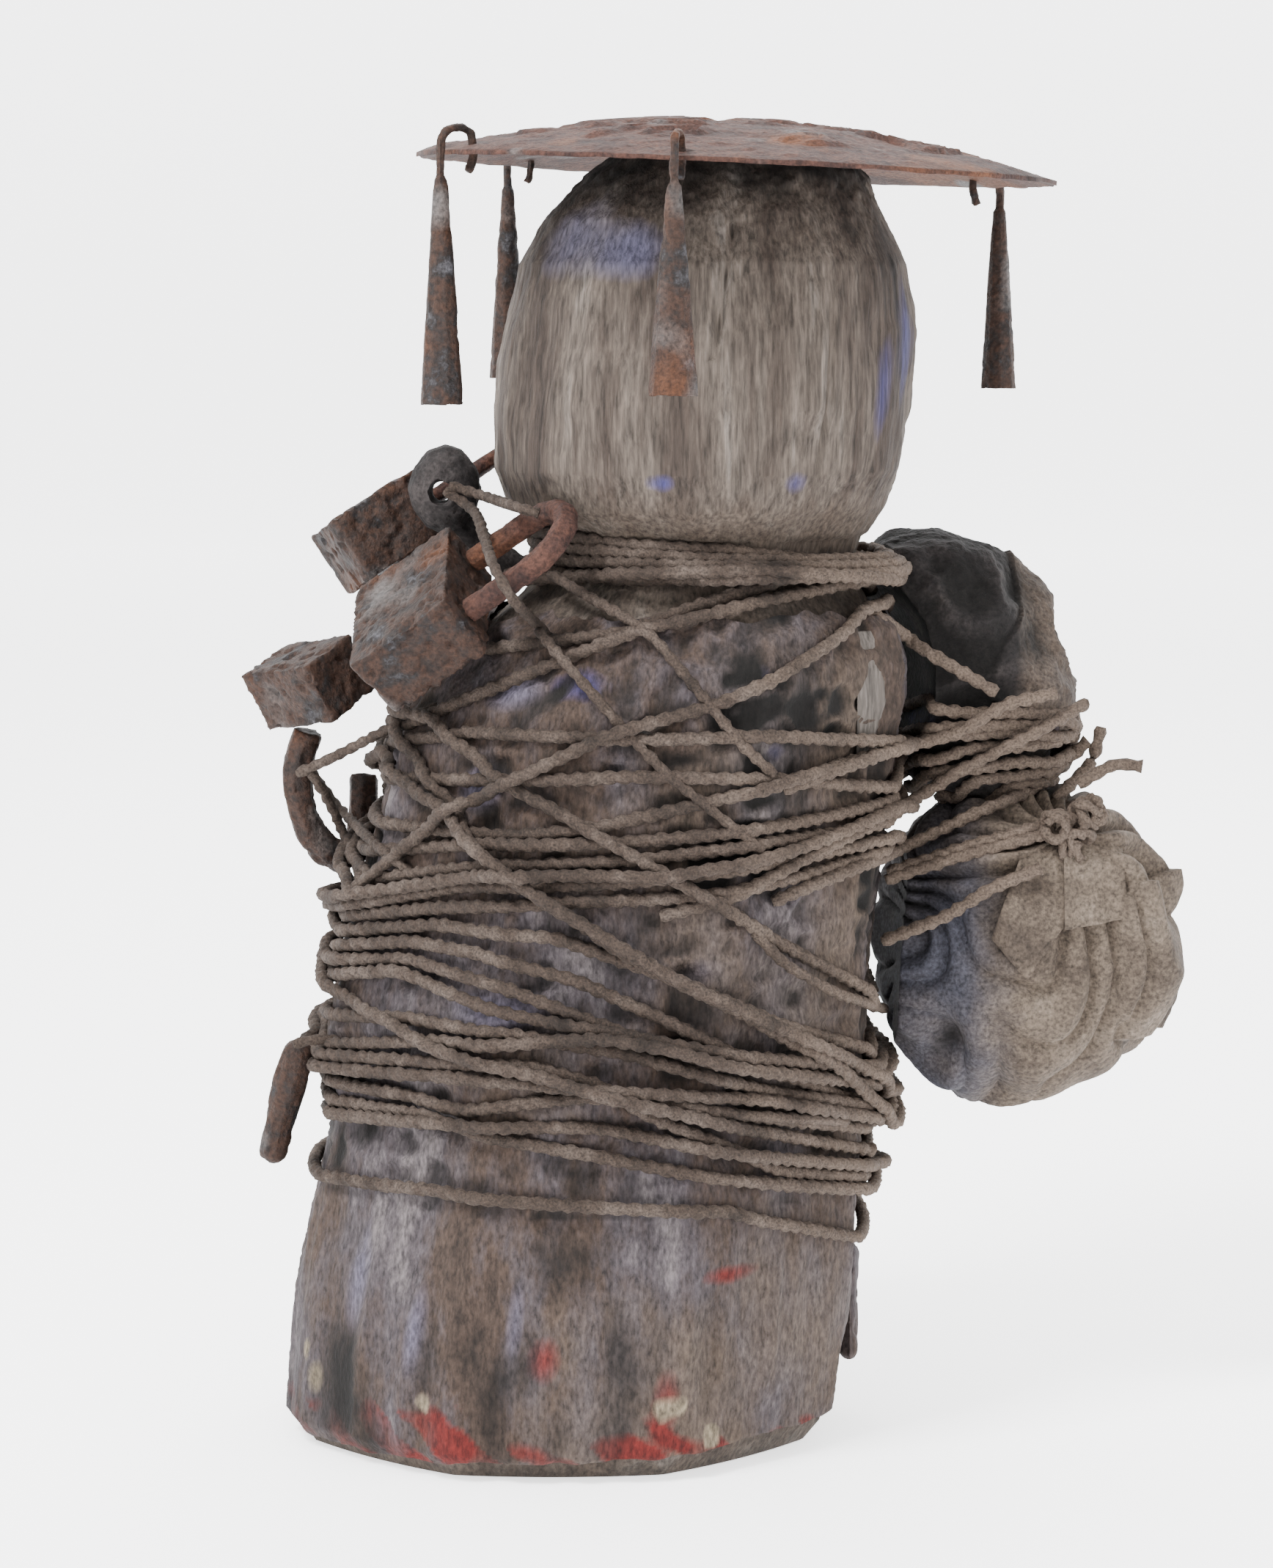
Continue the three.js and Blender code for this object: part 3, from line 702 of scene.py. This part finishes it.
# The iron disc: a shallow dome with layers of scale lifting off its top
def crown_disc():
    radius, rings, cols = DISC_RADIUS, 74, 280
    angle, r = np.meshgrid(np.linspace(0, FULL_TURN, cols, endpoint=False),
                           np.linspace(0.5, radius - 0.3, rings))
    place = np.stack([r * np.cos(angle), r * np.sin(angle), 0 * r], axis=-1)
    scale = noise(place, 0.045, 43, 3)
    layers = np.floor((scale + 0.2) * 5) / 5 * 1.3
    curled = np.clip(noise(place * [0.6, 1.4, 1], 0.09, 47, 2) - 0.2, 0, 1)
    flakes = curled * 6 * (curled < 0.3) * (r < 66)
    pits = noise(place, 0.5, 53, 3) * 0.4
    rim = np.stack([np.cos(angle) * 9, np.sin(angle) * 9, 0 * angle], -1)
    edge = radius - 0.5 + noise(rim, 1.2, 59, 3) * 1.2
    reach = np.where(r > radius - 6, r + (edge - radius) * (r - radius + 6) / 6, r)
    dome = DISC_RISE * (1 - (reach / radius) ** 2)
    high = np.clip(layers + flakes + pits, -0.9, 1.6) * np.clip((radius - r) / 4, 0.1, 1)
    under = dome - 2.9 + noise(place, 0.3, 61, 2) * 0.2
    crest = np.stack([reach * np.cos(angle), reach * np.sin(angle), dome - 1.8 + high], -1)
    low = np.stack([reach * np.cos(angle), reach * np.sin(angle), under], -1)
    points = np.concatenate([low, crest[::-1]]).reshape(-1, 3)
    cos, sin = math.cos(DISC_TILT), math.sin(DISC_TILT)
    lean = np.array([[cos, 0, sin], [0, 1, 0], [-sin, 0, cos]])
    points = points @ lean.T + [DISC_X, 0, DISC_TOP - DISC_RISE]
    obj = add_mesh("iron_disc", points, capped_faces(2 * rings, cols))
    set_mask(obj, "orange", noise(points, 0.05, 63, 3) * 1.2 + 0.3)
    set_mask(obj, "ash", noise(points, 0.08, 65, 2) * 1.5 - 0.2)
    dress(obj, "rust")
    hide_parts("crown_disc")


crown_disc()


# The packets: full forms that lean, with folds drawn towards the knot
UPPER = {"centre": (107, 24, 209), "radii": (33, 32, 39.5), "lobes": 5, "depth": 0.05, "square": 0.95,
         "lean": -9}
LOWER = {"centre": (124.5, 22, 129), "radii": (43.5, 37, 44.5), "lobes": 7, "depth": 0.055,
         "square": 0.84, "lean": 0}
TRUNK_CLEARANCE = 8.6
KNOT = np.array([138.0, -8.0, 163.0])


def fill(value, square):
    """Fill out the corners of a round form."""
    return np.sign(value) * np.abs(value) ** square


def packet_point(form, rise, angle, grow):
    """A point of a packet's skin at a rise and an angle, pushed out by a share of its size."""
    square, (wide, deep, tall) = form["square"], form["radii"]
    swell = 1 + form["depth"] * np.sin(form["lobes"] * angle + 2 * rise) * np.cos(rise) + grow
    out, up = fill(np.cos(rise), square), fill(np.sin(rise), square)
    points = np.stack([wide * swell * out * fill(np.cos(angle), square) + form["lean"] * up,
                       deep * swell * out * fill(np.sin(angle), square),
                       tall * (1 + grow * 0.6) * up], -1) + np.array(form["centre"])
    centre, half = station(points[..., 2])
    away = np.stack([points[..., 0] - centre, points[..., 1] / TRUNK_DEPTH], -1)
    distance = np.linalg.norm(away, axis=-1)
    push = np.maximum(1.0, (half + TRUNK_CLEARANCE) / np.maximum(distance, 1e-6))
    points[..., 0] = centre + (points[..., 0] - centre) * push
    points[..., 1] *= push
    return points


def packet(name, form, fold, rows, cols):
    rise, angle = np.meshgrid(np.linspace(-math.pi / 2 + 0.02, math.pi / 2 - 0.02, rows),
                              np.linspace(0, FULL_TURN, cols, endpoint=False), indexing="ij")
    grow = fold(packet_point(form, rise, angle, 0 * rise))
    points = packet_point(form, rise, angle, grow)
    obj = add_mesh(name, points.reshape(-1, 3), capped_faces(rows, cols))
    return obj, points, grow


def near(points, centre, reach):
    """1 at a centre, falling away over its reach."""
    return np.exp(-np.sum(((points - centre) / reach) ** 2, axis=-1))


def drawn_folds(points, count, reach, seed):
    """Folds that fan out from the knot: deepest near it, gone beyond their reach."""
    away = points - KNOT
    distance = np.linalg.norm(away, axis=-1)
    bend = noise(points, 0.022, seed, 2) * 1.5
    turn = np.arctan2(away[..., 0] * 0.9 + away[..., 1] * 0.35, -away[..., 2]) + bend
    ridge = np.abs(np.sin(turn * count / 2)) ** 0.7
    return ridge * np.clip(1.25 - distance / reach, 0, 1)


def hide_fold(points):
    broad = noise(points * [1, 1, 0.7], 0.035, 67, 2) * 0.09
    ridge = (0.45 - np.abs(noise(points * [0.9, 0.9, 1.3], 0.05, 71, 2))) * 0.2
    waist = -0.13 * np.exp(-((points[..., 2] - 184) / 7) ** 2)
    torn = 0.045 * (np.sin(points[..., 2] * 0.13) * 5 + points[..., 0] > 121) * (points[..., 2] > 190)
    return broad + ridge + waist + torn + noise(points, 0.3, 73, 3) * 0.035 - 0.07


def cloth_fold(points):
    folds = drawn_folds(points, 15, 90, 79) * 0.14
    soft = (0.4 - np.abs(noise(points * [1, 1, 0.4], 0.034, 83, 2))) * 0.3
    hollow = -0.3 * near(points, [100, -14, 103], [7, 14, 9])
    roll = 0.07 * np.clip((points[..., 0] - 150 - 2 * np.sin(points[..., 2] * 0.3)) / 2, 0, 1)
    roll = roll * (points[..., 2] > 106) * (points[..., 2] < 150)
    return folds + soft + hollow + roll + noise(points, 0.5, 89, 2) * 0.006 - 0.15


# What the shorter strands and the flaps of cloth are laid on: the frame's own solids
SOLIDS = ("wooden_figure", "padlock_front_body", "padlock_front_shackle", "padlock_rear_body",
          "padlock_lower_body", "padlock_lower_shackle", "pierced_knob", "upper_packet", "outer_hide",
          "lower_packet", "side_peg")


def solid_trees():
    trees = []
    for name in SOLIDS:
        node = bpy.data.objects[name]
        corners = [node.matrix_world @ vertex.co for vertex in node.data.vertices]
        trees.append(BVHTree.FromPolygons(corners, [tuple(face.vertices) for face in node.data.polygons]))
    return trees


TREES = solid_trees()
FREE_DEPTH = 1215.0


def first_hit(ray):
    """How far along a unit sight line the nearest solid stands, if one does."""
    hits = [tree.ray_cast(Vector(EYE * MM), Vector(ray))[3] for tree in TREES]
    return min((hit / MM for hit in hits if hit is not None), default=np.nan)


def unit_sight(u, v):
    ray = sight(u, v)
    return ray / np.linalg.norm(ray)


def pixel_line(pixels, step):
    return resample([(u, v, 0) for u, v in pixels], step, False)[:, :2]


def strand(pixels, lift=5.0, bridge=5, step=6):
    """A cord drawn over whatever stands in front, which spans the hollows between."""
    spots = pixel_line(pixels, step)
    spots = np.stack([smooth_line(spots[:, 0], 6), smooth_line(spots[:, 1], 6)], 1)
    rays = np.array([unit_sight(u, v) for u, v in spots])
    depth = np.array([first_hit(ray) for ray in rays])
    if np.isnan(depth).all():
        depth[:] = FREE_DEPTH
    known = ~np.isnan(depth)
    depth = np.interp(np.arange(len(depth)), np.flatnonzero(known), depth[known])
    nearest = np.array([depth[max(0, k - bridge):k + bridge + 1].min() for k in range(len(depth))])
    depth = smooth_line(nearest, 14) - lift
    return resample(EYE + rays * depth[:, None], CORD_STEP, False)


# Shorter strands, in pixels: from the trunk to the packets, then those about the padlocks and the peg
PACKET_STRANDS = [
    [(900, 1250), (1002, 1224), (1104, 1168), (1206, 1117), (1308, 1051), (1410, 1000), (1480, 960)],
    [(1053, 1230), (1206, 1168), (1334, 1107), (1410, 1077), (1484, 1010)],
    [(1068, 1077), (1227, 1020), (1308, 1000), (1370, 960), (1440, 945)],
    [(1182, 830), (1200, 842), (1260, 886), (1360, 945)],
    [(1211, 1189), (1308, 1158), (1436, 1122)],
    [(1209, 1199), (1300, 1170), (1430, 1136)],
    [(1204, 1283), (1290, 1250), (1350, 1212), (1419, 1184)],
    [(1440, 1090), (1490, 1040), (1502, 991)], [(1470, 1070), (1520, 1040), (1558, 1045)],
]
LOCK_STRANDS = [
    [(606, 668), (640, 690), (652, 700), (662, 740), (676, 779), (700, 820), (751, 870)],
    [(612, 662), (660, 676), (700, 690), (735, 700)],
    [(751, 783), (800, 812), (853, 842), (893, 870), (964, 957), (1012, 1016), (1055, 1056)],
    [(735, 860), (759, 890), (853, 997), (909, 1056), (1040, 1160)],
    [(405, 1055), (460, 1030), (545, 985), (600, 962)],
    [(430, 1060), (460, 1100), (510, 1150), (560, 1190)],
    [(420, 1045), (450, 1095), (470, 1140), (490, 1180), (530, 1215)],
    [(1028, 1271), (1071, 1316), (1141, 1355), (1205, 1375)],
    [(874, 1498), (1014, 1521), (1155, 1529)],
    [(400, 1424), (430, 1416), (470, 1420)],
]


# The two hanging corners of cloth, each between a row of pixels at its top and one at its foot
FLAPS = [
    ([(1395, 1160), (1440, 1150), (1480, 1165)], [(1352, 1280), (1400, 1337), (1452, 1262)]),
    ([(1450, 1150), (1490, 1135), (1530, 1150)], [(1452, 1268), (1490, 1262), (1540, 1252)]),
]


def flap(pixels_top, pixels_foot, lift, seed):
    """A thin corner of cloth laid on what is behind it."""
    rows, cols, behind = 26, 18, 1200.0
    pick = np.linspace(0, 1, cols)
    top, foot = pixel_line(pixels_top, 1), pixel_line(pixels_foot, 1)
    first = top[(pick * (len(top) - 1)).astype(int)]
    last = foot[(pick * (len(foot) - 1)).astype(int)]
    sheet = []
    for share in np.linspace(0, 1, rows):
        rays = [unit_sight(u, v) for u, v in first + (last - first) * share]
        sheet.append([EYE + ray * (np.nan_to_num(first_hit(ray), nan=behind) - lift) for ray in rays])
    sheet = np.array(sheet)
    front = sheet + noise(sheet * [1.6, 0.4, 0.5], 0.12, seed, 2)[..., None] * np.array([0, -2.2, 0])
    back = front + np.array([0, 0.9, 0])
    faces, size = [], rows * cols
    for i in range(rows - 1):
        for j in range(cols - 1):
            a, b = i * cols + j, (i + 1) * cols + j
            faces += [(a, a + 1, b + 1, b), (size + a, size + b, size + b + 1, size + a + 1)]
    rim = [*range(cols), *(i * cols + cols - 1 for i in range(1, rows)),
           *range(size - 2, size - cols - 1, -1), *(i * cols for i in range(rows - 2, 0, -1))]
    for here, there in zip(rim, rim[1:] + rim[:1]):
        faces.append((here, size + here, size + there, there))
    scrap = bare_mesh("scrap", np.concatenate([front, back]).reshape(-1, 3), faces)
    set_mask(scrap, "dust", np.full(size * 2, 0.35))
    dress(scrap, "packet")
    return scrap


def knot(centre, size, seed, loops=4):
    """Small loops turned every way round one spot."""
    random = np.random.default_rng(seed)
    turn = np.linspace(0, FULL_TURN, 24, endpoint=False)[:, None]
    for _ in range(loops):
        first, second = random.normal(size=(2, 3))
        first /= np.linalg.norm(first)
        second = np.cross(first, second)
        second /= np.linalg.norm(second)
        yield centre + size * (np.cos(turn) * first + np.sin(turn) * second * 0.7)


# The turns round the waist of the upper packet, and the knots beside it: place from the main knot, size, seed
TIE_TURNS, TIE_Z, TIE_STEP, TIE_TILT = 7, 183, 3.6, 5.5
KNOTS = [((0, 0, 0), 6.0, 103), ((4, 1, 7), 4.5, 104), ((-5, -3, 4), 4.0, 105)]
KNOT_CORD_RADIUS, LOCK_CORD_RADIUS = 1.4, 1.5


def hide_packet():
    obj, points, grow = packet("hide_packet", UPPER, hide_fold, 190, 280)
    outer = np.clip((points[..., 0] - 118) / 8, 0, 1)
    set_mask(obj, "dust", outer * 0.7 + np.clip((points[..., 2] - 232) / 14, 0, 1) * 0.3)
    set_mask(obj, "blue", np.exp(-((points[..., 2] - 192) / 9) ** 2) * 0.55 * (points[..., 0] < 135)
             + near(points, [96, -8, 232], [8, 12, 6]) * 0.5)
    # Painted shade in the folds and the bound waist; darker also on the side away from the outer wrap.
    set_mask(obj, "shade_and_dark_patch", np.clip(0.3 - grow * 5, 0, 0.8) + (1 - outer) * 0.25)
    dress(obj, "hide")
    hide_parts("upper_packet", "outer_hide")


def cloth_packet():
    obj, points, grow = packet("cloth_packet", LOWER, cloth_fold, 220, 310)
    inner = np.clip((132 - points[..., 0]) / 30, 0, 0.75)
    set_mask(obj, "lavender", inner + noise(points, 0.05, 93, 2) * 0.2)
    set_mask(obj, "dust", np.clip((points[..., 2] - 128) / 70, 0, 0.5))
    # Painted shade in the folds and the hollow of the packet.
    set_mask(obj, "shade_and_dark_patch", np.clip(-grow * 5 - 0.25, 0, 0.85))
    dress(obj, "packet")
    join(obj, [flap(top, foot, 3.2 + k, 97 + k) for k, (top, foot) in enumerate(FLAPS)])
    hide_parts("lower_packet")


def packet_cords():
    pile = CordPile()
    turn = np.linspace(0, FULL_TURN, 220, endpoint=False)
    for k in range(TIE_TURNS):
        ring = np.stack([np.cos(turn) * 3, np.sin(turn) * 3, 0 * turn + k * 9], -1)
        high = TIE_Z + TIE_STEP * (k - 3) + TIE_TILT * np.cos(turn + 0.3 * k) + noise(ring, 0.8, 95) * 2.5
        up = (high - UPPER["centre"][2]) / UPPER["radii"][2]
        rise = np.arcsin(np.clip(fill(up, 1 / UPPER["square"]), -1, 1))
        route = packet_point(UPPER, rise, turn, 0.035 + 0.012 * (k % 3) + 0 * turn)
        pile.add(resample(route, CORD_STEP, True))
    for pixels in PACKET_STRANDS:
        pile.add(strand(pixels), closed=False)
    for shift, size, seed in KNOTS:
        for loop in knot(KNOT + shift, size, seed):
            pile.add(loop, radius=KNOT_CORD_RADIUS)
    pile.build("packet_cords", ["packet_tie"])


def padlock_cords():
    pile = CordPile()
    for pixels in LOCK_STRANDS:
        pile.add(strand(pixels), radius=LOCK_CORD_RADIUS, closed=False)
    pile.build("padlock_cords")


hide_packet()
cloth_packet()
packet_cords()
padlock_cords()


# Floor and light
def stage():
    # In metres: flat underfoot, and swept up into a wall well behind the figure
    bend_start, bend_radius = 4.0, 0.8
    bend = [(bend_start + bend_radius * math.sin(turn), bend_radius - bend_radius * math.cos(turn))
            for turn in np.linspace(0, math.pi / 2, 16)]
    profile = [(-6.0, 0.0), *bend, (4.8, 6.0)]
    points = [(side * 8.0, y, z - 0.0005) for y, z in profile for side in (-1, 1)]
    faces = [(2 * k, 2 * k + 1, 2 * k + 3, 2 * k + 2) for k in range(len(profile) - 1)]
    mesh = bpy.data.meshes.new("floor")
    mesh.from_pydata(points, [], faces)
    mesh.shade_smooth()
    floor = bpy.data.objects.new("floor", mesh)
    bpy.context.scene.collection.objects.link(floor)
    mat = bpy.data.materials.new("pale_floor")
    mat.use_nodes = True
    shader = mat.node_tree.nodes["Principled BSDF"]
    shader.inputs["Base Color"].default_value = (0.96, 0.96, 0.97, 1)
    shader.inputs["Roughness"].default_value = 0.9
    shader.inputs["Emission Color"].default_value = (1, 1, 1, 1)
    shader.inputs["Emission Strength"].default_value = 1.6
    floor.data.materials.append(mat)
    world = bpy.data.worlds.new("studio")
    world.use_nodes = True
    background = world.node_tree.nodes["Background"]
    background.inputs["Color"].default_value = (1, 1, 1, 1)
    background.inputs["Strength"].default_value = 2.2
    bpy.context.scene.world = world
    lights = [("key", (-0.7, -0.8, 1.5), 0.5, 60), ("fill", (1.3, -0.7, 0.8), 1.0, 5),
              ("back", (0.3, 1.2, 1.4), 1.2, 18)]
    target = np.array([0.03, 0, 0.18])
    for name, place, size, power in lights:
        light = bpy.data.lights.new(name, "AREA")
        light.size = size
        light.energy = power
        lamp = bpy.data.objects.new(name, light)
        lamp.location = place
        aim = target - np.array(place)
        lamp.rotation_euler = (math.atan2(math.hypot(aim[0], aim[1]), -aim[2]), 0,
                               math.atan2(aim[0], -aim[1]) + math.pi)
        bpy.context.scene.collection.objects.link(lamp)


stage()
